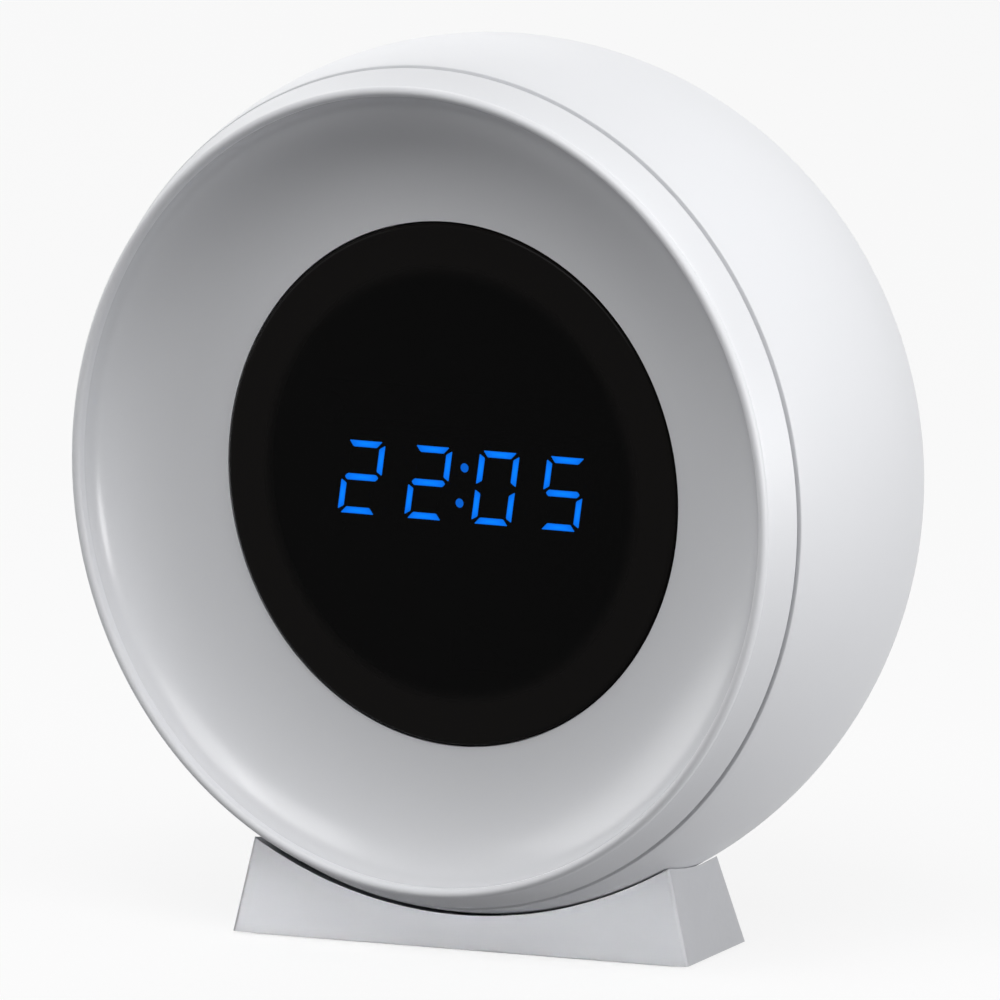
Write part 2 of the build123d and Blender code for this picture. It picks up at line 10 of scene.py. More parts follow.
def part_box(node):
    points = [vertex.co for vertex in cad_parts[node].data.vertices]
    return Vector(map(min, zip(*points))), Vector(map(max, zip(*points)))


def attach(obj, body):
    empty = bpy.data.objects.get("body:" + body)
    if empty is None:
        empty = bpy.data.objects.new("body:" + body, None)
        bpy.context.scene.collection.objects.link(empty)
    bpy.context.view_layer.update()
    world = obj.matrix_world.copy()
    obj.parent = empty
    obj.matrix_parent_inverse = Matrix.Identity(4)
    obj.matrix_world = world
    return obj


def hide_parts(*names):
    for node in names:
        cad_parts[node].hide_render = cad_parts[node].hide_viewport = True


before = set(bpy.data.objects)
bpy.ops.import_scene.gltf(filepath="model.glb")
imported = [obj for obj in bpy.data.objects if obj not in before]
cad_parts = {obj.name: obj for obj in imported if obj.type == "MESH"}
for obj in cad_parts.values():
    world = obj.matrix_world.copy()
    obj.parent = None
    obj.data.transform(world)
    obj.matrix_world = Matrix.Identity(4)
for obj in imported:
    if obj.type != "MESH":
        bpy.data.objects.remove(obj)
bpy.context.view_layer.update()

bl_info = {
    "name": "Night light clock",
    "version": (1, 0, 0),
    "blender": (4, 5, 0),
    "location": "3D View > Sidebar > Clock",
    "description": "Models and finishes a round night light clock on its wedge stand",
    "category": "Object",
}

MM = 0.001
TURN = 2 * math.pi
ROUND_STEPS = 256  # facets round the head
SMALL_STEPS = 64  # facets round a screw, a button or a well
WELD = 1e-6  # points nearer than this are one point

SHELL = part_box("rear_shell")
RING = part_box("front_ring")
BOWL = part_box("light_bowl")
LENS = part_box("display_lens")
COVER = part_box("rear_cover")
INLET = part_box("charge_inlet")
AXIS = (RING[0].z + RING[1].z) / 2  # height of the face axis
MOUTH = SHELL[0].y  # front edge of the rear shell
BACK = SHELL[1].y
CASE_CIRCLE = 45.998 * MM  # screws that hold the shell to the bowl
COVER_CIRCLE = 37.948 * MM  # screws that hold the cover
OVERRUN = 5 * MM  # a cutting tool reaches this far past the back


def linear(code):
    """Linear colour of an sRGB hex value."""
    parts = [int(code[i : i + 2], 16) / 255 for i in (1, 3, 5)]
    return tuple(p / 12.92 if p <= 0.04045 else ((p + 0.055) / 1.055) ** 2.4 for p in parts)


def length(name, description, millimetres):
    """Length property with a default in millimetres."""
    return FloatProperty(
        name=name, description=description, default=millimetres * MM, min=0.0, precision=5, unit="LENGTH"
    )


def angle(name, description, degrees):
    """Angle property with a default in degrees."""
    return FloatProperty(name=name, description=description, default=math.radians(degrees), subtype="ANGLE")


def colour(name, description, code):
    """Colour property with an sRGB hex default."""
    return FloatVectorProperty(
        name=name, description=description, default=linear(code), min=0.0, max=1.0, size=3, subtype="COLOR"
    )


class ClockSizes(bpy.types.PropertyGroup):
    """Sizes of the clock's outer pieces"""

    head_radius: length("Head radius", "Largest radius of the head", SHELL[1].x / MM)
    crown_radius: length("Crown radius", "Side-view arc of the rear shell", 46.5)
    shell_wall: length("Shell wall", "Wall of the rear shell", 1.8)
    edge_round: length("Edge round", "Softening of moulded edges", 0.12)
    seam_relief: length("Seam relief", "Each side of the seam set back, so that it reads dark", 0.1)
    ring_radius: length("Ring radius", "Band of the front ring at the seam", RING[1].x / MM)
    ring_wall: length("Ring wall", "Thickness of the band at the seam", 2.2)
    bead_radius: length("Bead radius", "Round bead along the lip", 0.67)
    bead_lead: length("Bead lead", "Bead crest ahead of the bowl's rim", 1.4)
    rabbet_width: length("Rabbet width", "Step that locates the ring on the bowl", 0.35)
    rabbet_depth: length("Rabbet depth", "Depth of that step", 0.7)
    rim_wall: length("Rim wall", "Bowl's wall at its rim", 0.9)
    cove_width: length("Cove width", "Rim of the bowl to the lens opening", 17.35)
    cove_depth: length("Cove depth", "Rim of the bowl to its floor", 7.8)
    bowl_wall: length("Bowl wall", "Wall of the bowl at its floor", 2.0)
    lens_round: length("Lens edge", "Rounded front edge of the lens", 0.7)
    digit_width: length("Digit width", "Width of a digit of the display", 6.07)
    digit_height: length("Digit height", "Height of a digit", 9.7)
    digit_pitch: length("Digit pitch", "From one digit to the next", 10.27)
    digit_lean: angle("Digit lean", "Lean of the digits", 9.5)
    bar_width: length("Bar width", "Width of a bar of a digit", 0.86)
    bar_depth: length("Bar depth", "Thickness of a bar", 0.95)
    row_tilt: angle("Row tilt", "The row of digits sits a little off level", 0.84)
    row_drop: length("Row drop", "Row of digits below the face axis", 0.5)
    button_radius: length("Button radius", "Cap of a push button", 3.4)
    button_dish: length("Button dish", "Hollow in the top of a push button", 0.3)
    dish_radius: length("Dish radius", "Hollow of the stand under the head", 57.65)
    stand_width: length("Stand width", "Width of the stand along its foot", 64.7)
    stand_front: length("Stand front", "Front edge ahead of the swivel", 12.0)
    stand_rear: length("Stand rear", "Rear edge behind the swivel", 7.5)
    stand_height: length("Stand height", "Height of the wedge above its foot", 13.0)
    side_lean: angle("Side lean", "Lean of the stand's ends", 12.9)
    front_lean: angle("Front lean", "Lean of the stand's front", 2.9)
    rear_lean: angle("Rear lean", "Lean of the stand's back", 14.6)
    stand_turn: angle("Stand turn", "Stand turned under the head", 8.4)


class ClockColours(bpy.types.PropertyGroup):
    """Colours of the clock's finishes"""

    shell: colour("Shell", "Polished white plastic of the shell and ring", "#ECEDF0")
    bowl: colour("Bowl", "Opal plastic of the light bowl", "#E2E3E6")
    lens: colour("Lens", "Smoked lens", "#1E1B1D")
    ink: colour("Lens border", "Ink printed round the lens", "#131110")
    display: colour("Display", "Dark housing of the display", "#0B0A0D")
    lit: colour("Lit bars", "Light of the digits", "#0080FF")
    dots: colour("Dots", "Light of the colon", "#0074EC")
    stand: colour("Stand", "Paint of the stand", "#BEBFC3")
    foot: colour("Foot", "Rubber of the foot", "#C9CACD")
    cover: colour("Cover", "Matt plastic of the rear cover", "#E6E7EA")
    button: colour("Buttons", "Caps of the push buttons", "#C9CCD1")


# Hand work that several pieces share


def clear():
    """Leave edit mode and deselect everything, so that an operator only meets the new piece."""
    if bpy.context.mode != "OBJECT":
        bpy.ops.object.mode_set(mode="OBJECT")
    bpy.ops.object.select_all(action="DESELECT")


def pick(piece):
    """Select one piece alone."""
    clear()
    piece.select_set(True)
    bpy.context.view_layer.objects.active = piece


def choose(piece, kind, wanted):
    """In edit mode, select the vertices, edges or faces of a piece that pass a test."""
    bpy.ops.mesh.select_all(action="DESELECT")
    bpy.ops.mesh.select_mode(type={"vertices": "VERT", "edges": "EDGE", "polygons": "FACE"}[kind])
    bpy.ops.object.mode_set(mode="OBJECT")
    found = 0
    for item in getattr(piece.data, kind):
        item.select = wanted(item)
        found += item.select
    bpy.ops.object.mode_set(mode="EDIT")
    if not found:
        raise RuntimeError(f"nothing to select on {piece.name}")


def choose_along(piece, axis, least):
    """In edit mode, select the edges of a piece that reach further than least along an axis."""

    def reaches(edge):
        start, end = (piece.data.vertices[i].co[axis] for i in edge.vertices)
        return abs(end - start) > least

    choose(piece, "edges", reaches)


def bake_place(piece):
    """Put a piece's place into its mesh."""
    pick(piece)
    bpy.ops.object.transform_apply(location=True, rotation=True, scale=True)


def ellipse(centre, radii, start, end, steps):
    """Points of an arc in an outline, without its first one."""
    turns = [math.radians(start + (end - start) * i / steps) for i in range(1, steps + 1)]
    return [(centre[0] + radii[0] * math.cos(t), centre[1] + radii[1] * math.sin(t)) for t in turns]


def trace(name, outline, height):
    """Draw an outline from a single vertex, with X as the radius and Y as the depth."""
    clear()
    bpy.ops.mesh.primitive_plane_add(size=MM, location=(*outline[0], height))
    piece = bpy.context.object
    piece.name = name
    bpy.ops.object.mode_set(mode="EDIT")
    bpy.ops.mesh.select_mode(type="VERT")
    bpy.ops.mesh.select_all(action="SELECT")
    bpy.ops.mesh.merge(type="CENTER")
    for (x, y), (next_x, next_y) in zip(outline, outline[1:]):
        bpy.ops.mesh.extrude_vertices_move(TRANSFORM_OT_translate={"value": (next_x - x, next_y - y, 0)})
    return piece


def spun(name, outline, x=0.0, z=0.0, steps=ROUND_STEPS):
    """Body of revolution about the face axis, or about a line beside it."""
    piece = trace(name, [(x + r, y) for r, y in outline], AXIS + z)
    bpy.ops.mesh.select_all(action="SELECT")
    bpy.ops.mesh.remove_doubles(threshold=WELD)
    bpy.ops.mesh.select_all(action="SELECT")
    bpy.ops.mesh.spin(steps=steps, angle=TURN, center=(x, 0, AXIS + z), axis=(0, 1, 0))
    bpy.ops.mesh.select_all(action="SELECT")
    bpy.ops.mesh.remove_doubles(threshold=WELD)
    bpy.ops.mesh.normals_make_consistent(inside=False)
    bpy.ops.object.mode_set(mode="OBJECT")
    bake_place(piece)
    return piece


def rod(radius, start, end, x=0.0, z=0.0, steps=SMALL_STEPS):
    """Round bar along the depth, placed from the face axis."""
    clear()
    bpy.ops.mesh.primitive_cylinder_add(
        vertices=steps,
        radius=radius,
        depth=end - start,
        location=(x, (start + end) / 2, AXIS + z),
        rotation=(math.pi / 2, 0, math.pi / steps),
    )
    piece = bpy.context.object
    bake_place(piece)
    return piece


def pillar(radius, tall, middle):
    """Upright round bar on the swivel axis, with its middle at a height."""
    clear()
    bpy.ops.mesh.primitive_cylinder_add(
        vertices=SMALL_STEPS, radius=radius, depth=tall, location=(0, 0, middle)
    )
    piece = bpy.context.object
    bake_place(piece)
    return piece


def block(size, centre):
    """Plain box, as a start or a tool."""
    clear()
    bpy.ops.mesh.primitive_cube_add(size=1, location=centre)
    piece = bpy.context.object
    piece.scale = size
    bake_place(piece)
    return piece


def combine(piece, tool, operation):
    """Cut a tool out of a piece, add it, or keep what both share."""
    pick(piece)
    modifier = piece.modifiers.new("Shape", "BOOLEAN")
    modifier.operation = operation
    modifier.solver = "EXACT"
    modifier.object = tool
    bpy.ops.object.modifier_apply(modifier=modifier.name)
    bpy.data.objects.remove(tool)
    if not piece.data.polygons:
        raise RuntimeError(f"{piece.name} was cut away")


def soften(piece, width, limit=40.0, segments=3):
    """Round a piece's sharp edges."""
    pick(piece)
    modifier = piece.modifiers.new("Edges", "BEVEL")
    modifier.width = width
    modifier.segments = segments
    modifier.limit_method = "ANGLE"
    modifier.angle_limit = math.radians(limit)
    bpy.ops.object.modifier_apply(modifier=modifier.name)


def joined(pieces, name):
    """Several meshes as one piece."""
    clear()
    for piece in pieces:
        piece.select_set(True)
    bpy.context.view_layer.objects.active = pieces[0]
    bpy.ops.object.join()
    pieces[0].name = name
    return pieces[0]


def copied(piece, place):
    """Copy of a piece, with its own mesh, moved to a place beside it."""
    twin = piece.copy()
    twin.data = piece.data.copy()
    bpy.context.collection.objects.link(twin)
    twin.location = place
    bake_place(twin)
    return twin


def round_places(radius, count, start):
    """Places round the face axis, as X and Z."""
    turns = [math.radians(start) + TURN * i / count for i in range(count)]
    return [(radius * math.cos(t), radius * math.sin(t)) for t in turns]


def settle(piece, node, body, material, smooth=35.0):
    """Finish a piece: smooth shading, its material, the node it stands for and the body it moves with."""
    pick(piece)
    bpy.ops.object.shade_smooth_by_angle(angle=math.radians(smooth))
    piece.data.materials.clear()
    piece.data.materials.append(material)
    if node:
        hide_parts(node)
    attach(piece, body)
    clear()


def dress(names, material):
    """Give CAD nodes that keep their shape a better material."""
    for name in names:
        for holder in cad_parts[name].material_slots:
            holder.material = material


# Finishes


def node(tree, kind, inputs, **settings):
    """Add a node with its settings; an input is a plain value or another node's output."""
    made = tree.nodes.new(kind)
    for name, value in settings.items():
        setattr(made, name, value)
    for name, value in inputs.items():
        if isinstance(value, bpy.types.NodeSocket):
            tree.links.new(value, made.inputs[name])
        else:
            made.inputs[name].default_value = value
    return made


def new_material(name):
    """Empty node material and its tree."""
    material = bpy.data.materials.new(name)
    material.use_nodes = True
    material.node_tree.nodes.clear()
    return material, material.node_tree


def noise(tree, place, width, detail=2.0):
    """Noise with grains about width millimetres across."""
    inputs = {"Vector": place, "Scale": 1 / (width * MM), "Detail": detail}
    return node(tree, "ShaderNodeTexNoise", inputs).outputs["Fac"]


def drift(tree, value, low, high):
    """Noise stretched from low to high, for a finish that varies from place to place."""
    inputs = {"Value": value, "From Min": 0.3, "From Max": 0.7, "To Min": low, "To Max": high}
    return node(tree, "ShaderNodeMapRange", inputs).outputs["Result"]


def moulded(name, tint, roughness, ior, grain, relief, mottle=0.03, spread=0.06, broad=18.0):
    """Moulded or painted skin: a fine relief, a roughness that drifts and a very slight cloudiness.

    grain is the width of the relief and broad that of the cloudiness, in millimetres.
    relief is its depth, in micrometres.
    """
    material, tree = new_material(name)
    place = node(tree, "ShaderNodeTexCoord", {}).outputs["Object"]
    fine = noise(tree, place, grain)
    darker = tuple(c * (1 - mottle) for c in tint)
    blend = node(tree, "ShaderNodeValToRGB", {"Fac": noise(tree, place, broad, 3.0)})
    blend.color_ramp.elements[0].position = 0.35
    blend.color_ramp.elements[0].color = (*darker, 1)
    blend.color_ramp.elements[1].position = 0.65
    blend.color_ramp.elements[1].color = (*tint, 1)
    bump = node(tree, "ShaderNodeBump", {"Height": fine, "Strength": 1.0, "Distance": relief * MM * MM})
    values = {
        "Base Color": blend.outputs["Color"],
        "Roughness": drift(tree, fine, max(roughness - spread, 0.02), min(roughness + spread, 1.0)),
        "IOR": ior,
        "Normal": bump.outputs["Normal"],
    }
    skin = node(tree, "ShaderNodeBsdfPrincipled", values)
    node(tree, "ShaderNodeOutputMaterial", {"Surface": skin.outputs["BSDF"]})
    return material


def glowing(name, tint, edge, middle):
    """Lit epoxy: brightest at a bar's middle, where its chip is, with a slight grain of the diffuser."""
    material, tree = new_material(name)
    place = node(tree, "ShaderNodeTexCoord", {}).outputs["Object"]
    grain = noise(tree, place, 0.6)
    chip = node(tree, "ShaderNodeAttribute", {}, attribute_name="glow")
    shares = {0: grain, 1: 0.2, 2: chip.outputs["Fac"]}
    spread = node(tree, "ShaderNodeMath", shares, operation="MULTIPLY_ADD")
    level = node(
        tree,
        "ShaderNodeMapRange",
        {"Value": spread.outputs[0], "From Min": 0.1, "From Max": 1.1, "To Min": edge, "To Max": middle},
    )
    bar = node(
        tree,
        "ShaderNodeBsdfPrincipled",
        {
            "Base Color": (*tint, 1),
            "Roughness": 0.4,
            "IOR": 1.55,
            "Emission Color": (*tint, 1),
            "Emission Strength": level.outputs["Result"],
        },
    )
    node(tree, "ShaderNodeOutputMaterial", {"Surface": bar.outputs["BSDF"]})
    return material


def smoked(name, tint, ink):
    """Smoked acrylic: dark and polished, with a faint drift in its polish.

    A border just paler than the lens is printed round it. The lens's index is far below acrylic's, because
    the photographed lens is coated and mirrors almost nothing.
    """
    material, tree = new_material(name)
    place = node(tree, "ShaderNodeTexCoord", {}).outputs["Object"]
    finish = {"Roughness": drift(tree, noise(tree, place, 9.0), 0.02, 0.06), "IOR": 1.12}
    glass = node(
        tree, "ShaderNodeBsdfPrincipled", {"Base Color": (*tint, 1), "Transmission Weight": 1.0, **finish}
    )
    border = node(tree, "ShaderNodeBsdfPrincipled", {"Base Color": (*ink, 1), **finish})
    flat = node(tree, "ShaderNodeMapping", {"Vector": place, "Location": (0, 0, -AXIS), "Scale": (1, 0, 1)})
    radius = node(tree, "ShaderNodeVectorMath", {0: flat.outputs["Vector"]}, operation="LENGTH")
    share = node(
        tree,
        "ShaderNodeMapRange",
        {"Value": radius.outputs["Value"], "From Min": BORDER[0], "From Max": BORDER[1]},
        interpolation_type="SMOOTHSTEP",
    )
    mixed = node(
        tree,
        "ShaderNodeMixShader",
        {0: share.outputs["Result"], 1: glass.outputs["BSDF"], 2: border.outputs["BSDF"]},
    )
    node(tree, "ShaderNodeOutputMaterial", {"Surface": mixed.outputs["Shader"]})
    return material


def plated(name, tint, roughness, streak):
    """Plated steel: fine drawing marks, streak millimetres apart, that stretch its reflections."""
    material, tree = new_material(name)
    place = node(tree, "ShaderNodeTexCoord", {}).outputs["Object"]
    across = 1 / (streak * MM)
    drawn = node(tree, "ShaderNodeMapping", {"Vector": place, "Scale": (across, across / 12, across)})
    marks = node(tree, "ShaderNodeTexNoise", {"Vector": drawn.outputs["Vector"], "Scale": 1.0, "Detail": 3.0})
    gloss = drift(tree, marks.outputs["Fac"], roughness - 0.08, roughness + 0.1)
    metal = node(
        tree, "ShaderNodeBsdfPrincipled", {"Base Color": (*tint, 1), "Metallic": 1.0, "Roughness": gloss}
    )
    node(tree, "ShaderNodeOutputMaterial", {"Surface": metal.outputs["BSDF"]})
    return material


def black_abs():
    """Black ABS: dull, so that it stays dark behind the lens."""
    return bpy.data.materials.get("black_abs") or moulded("black_abs", linear("#161518"), 0.6, 1.54, 0.5, 8.0)


def zinc_plate():
    """Zinc-plated steel: pale grey, with the streaks of drawn wire and strip."""
    name = "zinc_plated_steel"
    return bpy.data.materials.get(name) or plated(name, linear("#C6C8CC"), 0.32, 0.15)


# The display

SHOWN = "2205"  # time on the display
# Lit bars of each digit, lettered from the top one round to the left, with g in the middle
LIT_BARS = {"0": "abcdef", "2": "abged", "5": "afgcd"}
BAR_LEAD = 0.05 * MM  # fronts of the bars ahead of the housing
BAR_CORNER = 0.16 * MM  # rounding of a bar's corners
BAR_GLOW = (64.0, 104.0)  # strength of the light at a bar's ends and at its middle
DOT_GLOW = (62.0, 62.0)
BORDER = (26.8 * MM, 29.2 * MM)  # radii between which the lens's printed border fades in

# Places and shapes of the back

BUTTONS = ("set_button", "up_button", "down_button", "light_button")


def button_places():
    """Middle of each push button from the face axis, as X and Z."""
    middles = [(low + high) / 2 for low, high in map(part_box, BUTTONS)]
    return [(middle.x, middle.z - AXIS) for middle in middles]


def case_places():
    """Middle of each case screw from the face axis, as X and Z."""
    return round_places(CASE_CIRCLE, 4, 45)


def cover_places():
    """Middle of each cover screw from the face axis, as X and Z."""
    return round_places(COVER_CIRCLE, 4, 0)


def hole(steps, back, x, z, flare):
    """Cutter for a stepped round hole up to the back, with a flare that breaks its edge.

    Each step is a radius and where it starts.
    """
    outline = [(0, steps[0][1])]
    for (radius, start), (_, end) in zip(steps, steps[1:] + [(0, back - flare)]):
        outline += [(radius, start), (radius, end)]
    outline += [(steps[-1][0] + 2 * flare, back + flare), (0, back + flare)]
    return spun("hole", outline, x, z, SMALL_STEPS)


def stadium(width, height, start, end, z):
    """Bar along the depth with half-round ends."""
    piece = block((width, end - start, height), (0, (start + end) / 2, AXIS + z))
    bpy.ops.object.mode_set(mode="EDIT")
    choose_along(piece, 1, WELD)
    bpy.ops.mesh.bevel(offset=height / 2, segments=16, affect="EDGES")
    bpy.ops.mesh.select_all(action="SELECT")
    bpy.ops.mesh.remove_doubles(threshold=WELD)
    bpy.ops.object.mode_set(mode="OBJECT")
    return piece


def pan_screw(name, head, height, shank, seat, tip):
    """Pan-head screw along the depth, on the origin, with a cross recess; its head faces the back."""
    edge, top = 0.55 * height, seat + height
    outline = [(0, tip), (0.4 * shank, tip), (shank, tip + shank), (shank, seat)]
    outline += [(head, seat), (head, top - edge)]
    outline += ellipse((head - edge, top - edge), (edge, edge), 0, 70, 8) + [(0, top)]
    screw = spun(name, outline, 0, -AXIS, SMALL_STEPS)
    cross = block((0.34 * head, 1.2 * height, 1.25 * head), (0, top, 0))
    combine(cross, block((1.25 * head, 1.3 * height, 0.34 * head), (0, top, 0)), "UNION")
    combine(screw, cross, "DIFFERENCE")
    return screw


# Pieces


class CLOCK_OT_rear_shell(bpy.types.Operator):
    """Domed rear shell with its screw wells and the ledge for the cover"""

    bl_idname = "clock.rear_shell"
    bl_label = "Rear shell"

    def execute(self, context):
        size, tints = context.scene.clock_sizes, context.scene.clock_colours
        inner = size.crown_radius - size.shell_wall
        hub = size.head_radius - size.crown_radius
        mouth = MOUTH + size.seam_relief
        recess = hub + math.sqrt(size.crown_radius**2 - BACK**2)
        ledge, ledge_front, ledge_bore = BACK - 2.3 * MM, BACK - 4.3 * MM, recess - 5.6 * MM
        start = math.degrees(math.asin(mouth / size.crown_radius))
        end = math.degrees(math.asin(BACK / size.crown_radius))
        inner_end = math.degrees(math.asin(ledge_front / inner))
        inner_start = math.degrees(math.asin(mouth / inner))
        outer = (hub + size.crown_radius * math.cos(math.radians(start)), mouth)
        outline = [outer] + ellipse((hub, 0), (size.crown_radius,) * 2, start, end, 56)
        outline += [(recess, ledge), (ledge_bore, ledge), (ledge_bore, ledge_front)]
        outline += [(hub + inner * math.cos(math.radians(inner_end)), ledge_front)]
        outline += ellipse((hub, 0), (inner, inner), inner_end, inner_start, 32)
        outline.append(outer)
        shell = spun("rear_shell_skin", outline)
        soften(shell, size.edge_round)
        middle = size.crown_radius - size.shell_wall / 2
        core = [(0, mouth)]
        core += ellipse((hub, 0), (middle, middle), start, inner_end, 32)
        core.append((0, core[-1][1]))
        tube_radius, tube_front = 4.5 * MM, 4.8 * MM  # round the wells of the case screws
        post_radius, post_length = 2.6 * MM, 5 * MM  # for the cover screws
        tubes = [rod(tube_radius, tube_front, BACK, x, z) for x, z in case_places()]
        tubes += [rod(post_radius, ledge_front - post_length, ledge, x, z) for x, z in cover_places()]
        posts = joined(tubes, "posts")
        combine(posts, spun("core", core, steps=ROUND_STEPS // 2), "INTERSECT")
        combine(shell, posts, "UNION")
        well_radius, well_floor = 3.1 * MM, 7.8 * MM
        pilot_radius, pilot_depth = 1.0 * MM, 4 * MM
        wells = [rod(well_radius, well_floor, BACK + OVERRUN, x, z) for x, z in case_places()]
        wells += [rod(pilot_radius, ledge - pilot_depth, BACK + OVERRUN, x, z) for x, z in cover_places()]
        combine(shell, joined(wells, "wells"), "DIFFERENCE")
        bore_radius, bore_length = 4.8 * MM, 8 * MM
        combine(shell, pillar(bore_radius, bore_length, SHELL[0].z), "DIFFERENCE")
        # Satin white ABS: its sheen is broad, over the faint unevenness that a mould leaves.
        satin = moulded(
            "satin_white_abs", tints.shell, 0.52, 1.5, 2.4, 0.3, mottle=0.012, spread=0.015, broad=30.0
        )
        settle(shell, "rear_shell", "head", satin)
        return {"FINISHED"}


class CLOCK_OT_front_ring(bpy.types.Operator):
    """Front ring: a round bead along the lip and the slanted band behind it"""

    bl_idname = "clock.front_ring"
    bl_label = "Front ring"

    def execute(self, context):
        size, tints = context.scene.clock_sizes, context.scene.clock_colours
        rim_y, seam_y = BOWL[0].y, RING[1].y - size.seam_relief
        bore = size.ring_radius - size.ring_wall
        lip, step_y = bore - size.rabbet_width, rim_y + size.rabbet_depth
        rim_radius = BOWL[1].x - size.rim_wall
        bead = (rim_radius + size.bead_radius, rim_y - size.bead_lead + size.bead_radius)
        inner = (rim_radius, bead[1])
        outline = [inner] + ellipse(bead, (size.bead_radius,) * 2, -180, 45, 40)
        # The band's edge at the seam is broken
        outline += [(size.ring_radius - 0.05 * MM, seam_y - 0.1 * MM), (size.ring_radius - 0.08 * MM, seam_y)]
        outline += [(bore, seam_y), (bore, step_y), (lip, step_y), (lip, rim_y), (rim_radius, rim_y), inner]
        ring = spun("front_ring_skin", outline)
        # Polished white ABS: glossier than the shell, so that the bead catches narrow lights.
        gloss = moulded(
            "polished_white_abs", tints.shell, 0.45, 1.5, 2.4, 0.2, mottle=0.012, spread=0.01, broad=30.0
        )
        settle(ring, "front_ring", "head", gloss, smooth=30.0)
        return {"FINISHED"}


class CLOCK_OT_light_bowl(bpy.types.Operator):
    """Opal bowl that the night light shines through, with the lens seat in its floor"""

    bl_idname = "clock.light_bowl"
    bl_label = "Light bowl"

    def execute(self, context):
        size, tints = context.scene.clock_sizes, context.scene.clock_colours
        rim_y, skirt_radius = BOWL[0].y, BOWL[1].x
        rim_radius = skirt_radius - size.rim_wall
        opening = rim_radius - size.cove_width
        skirt_bore, collar = skirt_radius - 1.4 * MM, opening + 1.55 * MM
        seat_bore, seat_y, seat_rear = opening - 2.9 * MM, LENS[1].y + 0.3 * MM, LENS[1].y + 1.7 * MM
        back = (size.cove_width + size.rim_wall, size.cove_depth + size.bowl_wall)
        collar_angle = math.degrees(math.acos((collar - opening) / back[0]))
        skirt_angle = math.degrees(math.acos((skirt_bore - opening) / back[0]))
        outline = [(rim_radius, rim_y)]
        outline += ellipse((opening, rim_y), (size.cove_width, size.cove_depth), 0, 90, 64)
        outline += [(opening, seat_y), (seat_bore, seat_y), (seat_bore, seat_rear), (collar, seat_rear)]
        outline += [(collar, rim_y + back[1] * math.sin(math.radians(collar_angle)))]
        outline += ellipse((opening, rim_y), back, collar_angle, skirt_angle, 32)
        lip, step_y = skirt_radius - size.rabbet_width, rim_y + size.rabbet_depth
        skirt_end = rim_y + 6.7 * MM
        outline += [(skirt_bore, skirt_end), (skirt_radius, skirt_end), (skirt_radius, step_y)]
        outline += [(lip, step_y), (lip, rim_y), (rim_radius, rim_y)]
        bowl = spun("light_bowl_skin", outline)
        boss_radius, boss_front = 3.2 * MM, rim_y + 8.2 * MM
        bosses = [rod(boss_radius, boss_front, BOWL[1].y, x, z) for x, z in case_places()]
        bowl = joined([bowl] + bosses, "light_bowl_skin")
        # Opal acrylic: an even, milky white with a soft polish.
        opal = moulded(
            "opal_acrylic", tints.bowl, 0.24, 1.49, 3.0, 0.2, mottle=0.012, spread=0.01, broad=40.0
        )
        settle(bowl, "light_bowl", "head", opal)
        return {"FINISHED"}


